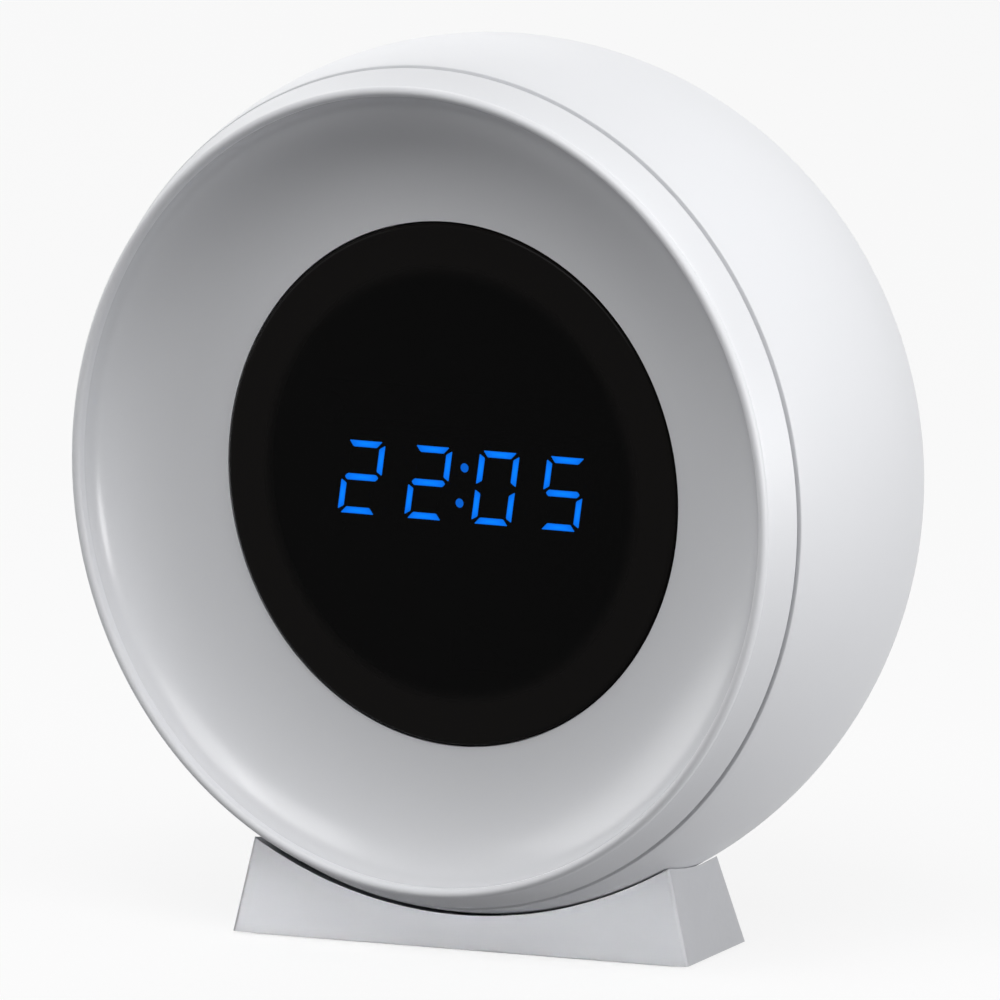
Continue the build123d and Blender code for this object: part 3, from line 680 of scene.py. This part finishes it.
class CLOCK_OT_display(bpy.types.Operator):
    """Smoked lens and the lit digits behind it"""

    bl_idname = "clock.display"
    bl_label = "Display"

    def execute(self, context):
        size, tints = context.scene.clock_sizes, context.scene.clock_colours
        radius, front, rear = LENS[1].x, LENS[0].y, LENS[1].y
        edge = (radius - size.lens_round, front + size.lens_round)
        outline = [(0, front), (edge[0], front)]
        outline += ellipse(edge, (size.lens_round,) * 2, -90, 0, 12)
        outline += [(radius, rear), (0, rear)]
        lens = spun("display_lens_disc", outline)
        settle(lens, "display_lens", "head", smoked("smoked_acrylic", tints.lens, tints.ink))
        bars = {letter: self.bar(letter, corners, size) for letter, corners in self.outlines(size).items()}
        lit, dark = [], []
        for place, digit in enumerate(SHOWN):
            for letter, bar in bars.items():
                shown = lit if letter in LIT_BARS[digit] else dark
                shown.append(copied(bar, ((place - (len(SHOWN) - 1) / 2) * size.digit_pitch, 0, 0)))
        for bar in bars.values():
            bpy.data.objects.remove(bar)
        lit, dark = joined(lit, "lit_bars"), joined(dark, "dark_bars")
        for row in (lit, dark):
            row.rotation_euler = (0, -size.row_tilt, 0)
            row.location = (0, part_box("lit_segments")[0].y - BAR_LEAD, AXIS - size.row_drop)
            bake_place(row)
        # Filled epoxy bars, each lit from behind at its middle.
        settle(lit, "lit_segments", "head", glowing("lit_epoxy", tints.lit, *BAR_GLOW))
        dress(["colon_dots"], glowing("lit_epoxy_dots", tints.dots, *DOT_GLOW))
        # Dark filled epoxy: bars that aren't lit, and the masked sides of those that are.
        resin = moulded("dark_epoxy", linear("#0E0D10"), 0.6, 1.55, 0.3, 4.0)
        settle(dark, "dark_segments", "head", resin)
        lit.data.materials.append(resin)
        for face in lit.data.polygons:
            face.material_index = 0 if face.normal.y < -0.5 else 1
        housing = moulded("display_housing", tints.display, 0.7, 1.54, 0.4, 6.0)
        dress(["display_module", "lens_tape"], housing)
        return {"FINISHED"}

    def outlines(self, size):
        """Corners of a digit's seven bars, from its middle, leaned over."""
        w, h, t, lean = size.digit_width / 2, size.digit_height / 2, size.bar_width, math.tan(size.digit_lean)
        # Ends of the flat, upright and middle bars, from the digit's corners, at the outer and inner sides
        flat_out, flat_in = 0.5 * MM, 1.26 * MM
        top_out, top_in, low_out, low_in = 0.47 * MM, 0.97 * MM, 0.36 * MM, 0.86 * MM
        point_out, point_in = 0.45 * MM, 0.85 * MM
        flat = [(flat_out - w, h), (w - flat_out, h), (w - flat_in, h - t), (flat_in - w, h - t)]
        upright = [(-w, h - top_out), (-w, low_out), (t - w, low_in), (t - w, h - top_in)]
        middle = [(point_out - w, 0), (point_in - w, t / 2), (w - point_in, t / 2)]
        middle += [(-x, -z) for x, z in middle]
        shapes = {"a": (flat, 1, 1), "b": (upright, -1, 1), "c": (upright, -1, -1), "d": (flat, 1, -1)}
        shapes.update({"e": (upright, 1, -1), "f": (upright, 1, 1), "g": (middle, 1, 1)})
        return {
            letter: [(side * x + level * z * lean, level * z) for x, z in outline]
            for letter, (outline, side, level) in shapes.items()
        }

    def bar(self, letter, outline, size):
        """One bar of a digit, with rounded corners and a middle point that marks where it is brightest."""
        piece = trace("bar_" + letter, outline + outline[:1], 0)
        bpy.ops.mesh.select_all(action="SELECT")
        bpy.ops.mesh.remove_doubles(threshold=WELD)
        bpy.ops.mesh.select_all(action="SELECT")
        bpy.ops.mesh.edge_face_add()
        bpy.ops.mesh.bevel(offset=BAR_CORNER, segments=4, affect="VERTICES")
        bpy.ops.mesh.select_all(action="SELECT")
        bpy.ops.mesh.extrude_region_move(TRANSFORM_OT_translate={"value": (0, 0, size.bar_depth)})
        bpy.ops.mesh.poke()
        bpy.ops.mesh.select_all(action="SELECT")
        bpy.ops.mesh.normals_make_consistent(inside=False)
        bpy.ops.object.mode_set(mode="OBJECT")
        bake_place(piece)
        middle = Vector((*(sum(part) / len(outline) for part in zip(*outline)), size.bar_depth))
        brightest = min(piece.data.vertices, key=lambda point: (point.co - middle).length).index
        glow = piece.data.attributes.new("glow", "FLOAT", "POINT")
        glow.data[brightest].value = 1.0
        piece.rotation_euler = (math.pi / 2, 0, 0)
        piece.location = (0, size.bar_depth, 0)
        bake_place(piece)
        return piece


class CLOCK_OT_stand(bpy.types.Operator):
    """Wedge stand with the hollow that the head sits in, and its rubber foot"""

    bl_idname = "clock.stand"
    bl_label = "Stand"

    def execute(self, context):
        size, tints = context.scene.clock_sizes, context.scene.clock_colours
        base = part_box("stand_block")[0].z
        top = base + size.stand_height
        depth = size.stand_front + size.stand_rear
        middle = (size.stand_rear - size.stand_front) / 2
        wedge = block((size.stand_width, depth, size.stand_height), (0, middle, (base + top) / 2))
        wedge.name = "stand_wedge"
        bpy.ops.object.mode_set(mode="EDIT")
        rise = size.stand_height
        half = size.stand_width / 2 - rise * math.tan(size.side_lean)
        front = -size.stand_front + rise * math.tan(size.front_lean)
        rear = size.stand_rear - rise * math.tan(size.rear_lean)
        choose(wedge, "polygons", lambda face: face.normal.z > 0.9)
        bpy.ops.transform.resize(value=(2 * half / size.stand_width, (rear - front) / depth, 1))
        bpy.ops.transform.translate(value=(0, (front + rear) / 2 - middle, 0))
        corner_round, foot_margin, foot_recess = 0.5 * MM, 1.0 * MM, 0.4 * MM
        choose_along(wedge, 2, rise / 2)
        bpy.ops.mesh.bevel(offset=corner_round, segments=5, affect="EDGES")
        choose(wedge, "polygons", lambda face: face.normal.z < -0.9)
        bpy.ops.mesh.inset(thickness=foot_margin)
        bpy.ops.mesh.extrude_region_move(TRANSFORM_OT_translate={"value": (0, 0, foot_recess)})
        bpy.ops.object.mode_set(mode="OBJECT")
        clear()
        bpy.ops.mesh.primitive_uv_sphere_add(
            segments=ROUND_STEPS, ring_count=ROUND_STEPS // 2, radius=size.dish_radius, location=(0, 0, AXIS)
        )
        ball = context.object
        bake_place(ball)
        bpy.ops.object.mode_set(mode="EDIT")
        bpy.ops.mesh.select_all(action="SELECT")
        ball_top = 25 * MM  # the wedge only meets the lower part of the ball
        bpy.ops.mesh.bisect(plane_co=(0, 0, ball_top), plane_no=(0, 0, 1), use_fill=True, clear_outer=True)
        bpy.ops.object.mode_set(mode="OBJECT")
        combine(wedge, ball, "DIFFERENCE")
        soften(wedge, 0.1 * MM, limit=30.0)
        stub_radius, stub_length, stub_middle = 4.5 * MM, 6.6 * MM, base + 4.9 * MM
        combine(wedge, pillar(stub_radius, stub_length, stub_middle), "UNION")
        wedge.rotation_euler = (0, 0, size.stand_turn)
        bake_place(wedge)
        # Sprayed enamel on a casting: satin, with the spray's fine pebble, drawn twice as coarse as it is.
        paint = moulded("satin_enamel", tints.stand, 0.42, 1.5, 0.7, 4.0, mottle=0.02, broad=14.0)
        settle(wedge, "stand_block", "stand", paint, smooth=30.0)
        # Moulded rubber: dull, with the stipple of its mould.
        dress(["foot_pad"], moulded("stippled_rubber", tints.foot, 0.85, 1.52, 0.5, 40.0, mottle=0.08))
        return {"FINISHED"}


class CLOCK_OT_rear_cover(bpy.types.Operator):
    """Back panel with openings for the buttons, screws, sound and inlet, and posts for the board"""

    bl_idname = "clock.rear_cover"
    bl_label = "Rear cover"

    def execute(self, context):
        size, tints = context.scene.clock_sizes, context.scene.clock_colours
        radius, back = COVER[1].x, COVER[1].y
        front, edge = back - 2.0 * MM, 0.4 * MM
        outline = [(0, front), (radius, front), (radius, back - edge)]
        outline += ellipse((radius - edge, back - edge), (edge, edge), 0, 90, 6) + [(0, back)]
        cover = spun("rear_cover_panel", outline)
        post_x, post_z, post_radius, post_root = 17.6 * MM, 14.4 * MM, 2.3 * MM, front + 0.5 * MM
        corners = [(x, z) for x in (-post_x, post_x) for z in (-post_z, post_z)]
        posts = [rod(post_radius, COVER[0].y, post_root, x, z) for x, z in corners]
        combine(cover, joined(posts, "posts"), "UNION")
        start = front - MM  # a cutter starts ahead of the panel
        button_hole = [(size.button_radius + 0.3 * MM, start)]
        tools = [hole(button_hole, back, x, z, 0.25 * MM) for x, z in button_places()]
        screw_hole = [(1.1 * MM, start), (2.05 * MM, back - 1.1 * MM)]  # for the shank, then for the head
        tools += [hole(screw_hole, back, x, z, 0.15 * MM) for x, z in cover_places()]
        vent, vent_x, vent_z = [(0.7 * MM, start)], 10 * MM, -5 * MM
        vents = [(0, 0)] + round_places(2.4 * MM, 6, 0)
        tools += [hole(vent, back, vent_x + x, vent_z + z, 0.12 * MM) for x, z in vents]
        combine(cover, joined(tools, "tools"), "DIFFERENCE")
        inlet_width, inlet_height, inlet_z = 9.5 * MM, 3.8 * MM, -11 * MM
        combine(cover, stadium(inlet_width, inlet_height, start, back + MM, inlet_z), "DIFFERENCE")
        # White ABS from an eroded mould: dull and finely pebbled, drawn twice as coarse as it is.
        skin = moulded("eroded_white_abs", tints.cover, 0.55, 1.54, 0.5, 22.0, mottle=0.02)
        settle(cover, "rear_cover", "head", skin)
        return {"FINISHED"}


class CLOCK_OT_push_buttons(bpy.types.Operator):
    """Four push buttons: round caps with a shallow hollow for the finger and a flange that keeps them in"""

    bl_idname = "clock.push_buttons"
    bl_label = "Push buttons"

    def execute(self, context):
        size, tints = context.scene.clock_sizes, context.scene.clock_colours
        low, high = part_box(BUTTONS[0])
        cap, top, edge = size.button_radius, high.y, 0.5 * MM
        flange, flange_y = (high.x - low.x) / 2, low.y + 1.0 * MM
        outline = [(0, low.y), (flange, low.y), (flange, flange_y), (cap, flange_y), (cap, top - edge)]
        outline += ellipse((cap - edge, top - edge), (edge, edge), 0, 90, 8)
        brim = cap - 1.5 * edge
        for step in range(13):
            share = 1 - step / 12
            outline.append((brim * share, top - size.button_dish * (1 - share**2)))
        places = button_places()
        first = spun("push_button", outline, *places[0], SMALL_STEPS)
        caps = [first] + [copied(first, (x - places[0][0], 0, z - places[0][1])) for x, z in places[1:]]
        # Moulded ABS: smooth and a little greyer than the cover.
        skin = moulded("grey_abs", tints.button, 0.36, 1.54, 1.0, 3.0, mottle=0.02)
        for name, piece in zip(BUTTONS, caps):
            piece.name = name + "_cap"
            settle(piece, name, name, skin)
        return {"FINISHED"}


class CLOCK_OT_screws(bpy.types.Operator):
    """Screws that show on the back: four round the cover and four deep in the wells"""

    bl_idname = "clock.screws"
    bl_label = "Screws"

    def execute(self, context):
        steel = zinc_plate()
        low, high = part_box("cover_screws")
        small = pan_screw("cover_screw", 1.9 * MM, 1.1 * MM, 0.95 * MM, high.y - 1.1 * MM, low.y)
        self.spread(small, "cover_screws", cover_places(), steel)
        low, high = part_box("case_screws")
        large = pan_screw("case_screw", 2.7 * MM, 1.8 * MM, 1.5 * MM, high.y - 1.8 * MM, low.y)
        self.spread(large, "case_screws", case_places(), steel)
        return {"FINISHED"}

    def spread(self, screw, node_name, places, steel):
        """Copies of a screw, each driven to its own angle, as one piece."""
        pieces = []
        for number, (x, z) in enumerate(places):
            twin = copied(screw, (0, 0, 0))
            twin.rotation_euler = (0, math.radians(25 + 40 * number), 0)
            twin.location = Vector((x, 0, AXIS + z))
            bake_place(twin)
            pieces.append(twin)
        bpy.data.objects.remove(screw)
        settle(joined(pieces, node_name + "_set"), node_name, "head", steel)


class CLOCK_OT_charge_inlet(bpy.types.Operator):
    """Folded metal mouth of the charging inlet and the tongue inside it"""

    bl_idname = "clock.charge_inlet"
    bl_label = "Charging inlet"

    def execute(self, context):
        low, high = INLET
        drop = (low.z + high.z) / 2 - AXIS
        mouth = stadium(high.x - low.x, high.z - low.z, low.y, high.y, drop)
        mouth.name = "charge_inlet_mouth"
        bpy.ops.object.mode_set(mode="EDIT")
        choose(mouth, "polygons", lambda face: face.normal.y > 0.9)
        bpy.ops.mesh.inset(thickness=0.3 * MM)
        bpy.ops.mesh.extrude_region_move(TRANSFORM_OT_translate={"value": (0, low.y + 1.2 * MM - high.y, 0)})
        bpy.ops.object.mode_set(mode="OBJECT")
        soften(mouth, 0.08 * MM, segments=2)
        settle(mouth, "charge_inlet", "head", zinc_plate())
        end = high.y - 1.0 * MM
        tongue = block((6.7 * MM, end - low.y - MM, 0.7 * MM), (0, (end + low.y + MM) / 2, AXIS + drop))
        tongue.name = "charge_inlet_tongue"
        soften(tongue, 0.15 * MM)
        settle(tongue, None, "head", black_abs())
        return {"FINISHED"}


class CLOCK_OT_inner_pieces(bpy.types.Operator):
    """Finishes of the pieces inside the head"""

    bl_idname = "clock.inner_pieces"
    bl_label = "Inner pieces"

    def execute(self, context):
        black = black_abs()
        dress(["inner_deck", "driver_chip", "control_chip", "sounder", "tact_switches"], black)
        mask = moulded("solder_mask", linear("#0F4A2C"), 0.35, 1.55, 1.2, 10.0, mottle=0.25, broad=2.5)
        dress(["display_board", "control_board"], mask)
        dress(["light_board"], moulded("white_solder_mask", linear("#E4E4E0"), 0.4, 1.55, 1.2, 10.0))
        dress(["light_chips"], moulded("phosphor_resin", linear("#E6D27A"), 0.5, 1.5, 0.8, 10.0))
        fasteners = ["display_screws", "control_screws", "swivel_retainer", "swivel_screw"]
        dress(fasteners + ["cell_clip", "backup_cell"], zinc_plate())
        dress(["swivel_washer"], moulded("nylon", linear("#E2DFD4"), 0.5, 1.53, 0.6, 5.0))
        return {"FINISHED"}


# Stage

FLOOR_WIDTH = 12.0
FLOOR_WHITE = 0.85  # share of plain white in the floor that the eye sees; the rest takes the shadow
# Soft light from all round: little from the front, so that the bowl keeps its shade, and more from behind
FRONT_FILL = 0.02
BACK_FILL = 0.55
# Lamps: name, place, aim, width, height, spread in degrees and power in watts
OPEN = 180  # spread of a bare softbox
HEAD_MIDDLE = (0, 0, 0.06)
LAMPS = [
    ("high_softbox", (0.0, -0.7, 1.272), HEAD_MIDDLE, 0.8, 0.8, OPEN, 7.2),
    ("side_softbox", (1.39, 0.0, 0.22), HEAD_MIDDLE, 0.8, 0.42, OPEN, 10.8),
    ("left_softbox", (-1.25, -0.5, 0.45), HEAD_MIDDLE, 0.8, 0.8, OPEN, 4.4),
    ("right_softbox", (0.568, -0.568, 1.207), HEAD_MIDDLE, 0.8, 0.8, OPEN, 6.2),
    ("back_softbox", (-0.857, 0.857, 0.76), HEAD_MIDDLE, 0.8, 0.8, OPEN, 3.2),
    ("stand_strip", (-0.1, -0.5, 0.006), (0, -0.012, 0.005), 0.08, 0.012, 4, 0.0044),
]
# Camera, as fitted to the photograph: angles in degrees and distance in metres
# The focus and the place of the head are in pixels of the photograph's frame
IMAGE = 1000.0
SENSOR = 36.0
CAMERA_TURN = 32.03
CAMERA_RISE = 9.59
CAMERA_ROLL = -0.18
CAMERA_DISTANCE = 2.5
CAMERA_FOCUS = 19213.6
HEAD_PIXEL = (494.14, 473.12)


class CLOCK_OT_stage(bpy.types.Operator):
    """Pale floor, soft studio light and the camera of the photograph"""

    bl_idname = "clock.stage"
    bl_label = "Stage"

    def execute(self, context):
        scene = context.scene
        scene.view_settings.view_transform = "Standard"
        self.floor()
        self.world(scene)
        for lamp in LAMPS:
            self.lamp(*lamp)
        self.camera(scene)
        return {"FINISHED"}

    def seen(self, tree):
        """1 for rays from the camera, and for those that reflect or pass through to it."""
        path = node(tree, "ShaderNodeLightPath", {})
        first = node(
            tree,
            "ShaderNodeMath",
            {0: path.outputs["Is Camera Ray"], 1: path.outputs["Is Glossy Ray"]},
            operation="MAXIMUM",
        )
        both = node(
            tree,
            "ShaderNodeMath",
            {0: first.outputs[0], 1: path.outputs["Is Transmission Ray"]},
            operation="MAXIMUM",
        )
        return both.outputs[0]

    def floor(self):
        """Sheet of paper under the clock."""
        clear()
        bpy.ops.mesh.primitive_plane_add(size=FLOOR_WIDTH, location=(0, 0, 0))
        floor = bpy.context.object
        floor.name = "floor"
        # Paper sweep: white to the eye, with the object's shadow on it, but it throws back little light.
        material, tree = new_material("paper_sweep")
        dull = node(tree, "ShaderNodeBsdfDiffuse", {"Color": (*linear("#808082"), 1)})
        paper = node(tree, "ShaderNodeBsdfDiffuse", {"Color": (*linear("#F4F4F5"), 1)})
        white = node(tree, "ShaderNodeEmission", {"Color": (1, 1, 1, 1), "Strength": 1.0})
        sheet = node(
            tree,
            "ShaderNodeMixShader",
            {0: FLOOR_WHITE, 1: paper.outputs["BSDF"], 2: white.outputs["Emission"]},
        )
        mixed = node(
            tree,
            "ShaderNodeMixShader",
            {0: self.seen(tree), 1: dull.outputs["BSDF"], 2: sheet.outputs["Shader"]},
        )
        node(tree, "ShaderNodeOutputMaterial", {"Surface": mixed.outputs["Shader"]})
        floor.data.materials.append(material)

    def world(self, scene):
        """White room to the eye, and the fill light that it gives."""
        scene.world = bpy.data.worlds.new("white_studio")
        scene.world.use_nodes = True
        tree = scene.world.node_tree
        tree.nodes.clear()
        way = node(tree, "ShaderNodeTexCoord", {}).outputs["Generated"]
        depth = node(tree, "ShaderNodeSeparateXYZ", {"Vector": way})
        level = node(
            tree,
            "ShaderNodeMapRange",
            {"Value": depth.outputs["Y"], "From Min": 0.0, "To Min": FRONT_FILL, "To Max": BACK_FILL},
        )
        fill = node(
            tree, "ShaderNodeBackground", {"Color": (1, 1, 1, 1), "Strength": level.outputs["Result"]}
        )
        white = node(tree, "ShaderNodeBackground", {"Color": (1, 1, 1, 1), "Strength": 1.0})
        mixed = node(
            tree,
            "ShaderNodeMixShader",
            {0: self.seen(tree), 1: fill.outputs["Background"], 2: white.outputs["Background"]},
        )
        node(tree, "ShaderNodeOutputWorld", {"Surface": mixed.outputs["Shader"]})

    def lamp(self, name, place, aim, width, height, spread, power):
        """Softbox, or a strip with a grid on it, out of the camera's sight."""
        clear()
        bpy.ops.object.light_add(type="AREA", location=place)
        lamp = bpy.context.object
        lamp.name = name
        lamp.rotation_euler = (Vector(aim) - Vector(place)).to_track_quat("-Z", "Y").to_euler()
        lamp.data.shape = "RECTANGLE"
        lamp.data.size = width
        lamp.data.size_y = height
        lamp.data.spread = math.radians(spread)
        lamp.data.energy = power
        lamp.visible_camera = False
        if spread < OPEN:
            # The narrow strip is flagged off the head: it reaches only the stand, and makes no glints
            lamp.visible_glossy = False
            reached = bpy.data.collections.new(name + "_reaches")
            reached.objects.link(bpy.data.objects["stand_wedge"])
            lamp.light_linking.receiver_collection = reached

    def camera(self, scene):
        """Long lens at the photograph's angle, moved sideways so that the head sits where it does there."""
        turn, rise, roll = (math.radians(a) for a in (CAMERA_TURN, CAMERA_RISE, CAMERA_ROLL))
        back = Vector((math.sin(turn) * math.cos(rise), -math.cos(turn) * math.cos(rise), math.sin(rise)))
        level = Vector((math.cos(turn), math.sin(turn), 0))
        upright = back.cross(level)
        right = level * math.cos(roll) + upright * math.sin(roll)
        up = upright * math.cos(roll) - level * math.sin(roll)
        clear()
        bpy.ops.object.camera_add()
        camera = bpy.context.object
        camera.data.sensor_width = SENSOR
        camera.data.lens = CAMERA_FOCUS * SENSOR / IMAGE
        pixel = CAMERA_DISTANCE / CAMERA_FOCUS
        across = (HEAD_PIXEL[0] - IMAGE / 2) * pixel
        above = (IMAGE / 2 - HEAD_PIXEL[1]) * pixel
        place = Vector((0, 0, AXIS)) + back * CAMERA_DISTANCE - right * across - up * above
        camera.matrix_world = Matrix.Translation(place) @ Matrix((right, up, back)).transposed().to_4x4()
        scene.camera = camera


class CLOCK_PT_pieces(bpy.types.Panel):
    """Pieces of the clock"""

    bl_idname = "CLOCK_PT_pieces"
    bl_label = "Night light clock"
    bl_space_type = "VIEW_3D"
    bl_region_type = "UI"
    bl_category = "Clock"

    def draw(self, context):
        for operator in OPERATORS:
            self.layout.operator(operator.bl_idname)
        for group in (context.scene.clock_sizes, context.scene.clock_colours):
            for name in group.__annotations__:
                self.layout.prop(group, name)


OPERATORS = (
    CLOCK_OT_rear_shell,
    CLOCK_OT_front_ring,
    CLOCK_OT_light_bowl,
    CLOCK_OT_display,
    CLOCK_OT_stand,
    CLOCK_OT_rear_cover,
    CLOCK_OT_push_buttons,
    CLOCK_OT_screws,
    CLOCK_OT_charge_inlet,
    CLOCK_OT_inner_pieces,
    CLOCK_OT_stage,
)
CLASSES = (ClockSizes, ClockColours, *OPERATORS, CLOCK_PT_pieces)


def register():
    for item in CLASSES:
        bpy.utils.register_class(item)
    bpy.types.Scene.clock_sizes = PointerProperty(type=ClockSizes)
    bpy.types.Scene.clock_colours = PointerProperty(type=ClockColours)


def unregister():
    del bpy.types.Scene.clock_colours
    del bpy.types.Scene.clock_sizes
    for item in reversed(CLASSES):
        bpy.utils.unregister_class(item)


def main():
    """Register the add-on and model every piece in order."""
    register()
    for operator in OPERATORS:
        group, name = operator.bl_idname.split(".")
        getattr(getattr(bpy.ops, group), name)()


if __name__ == "__main__":
    main()
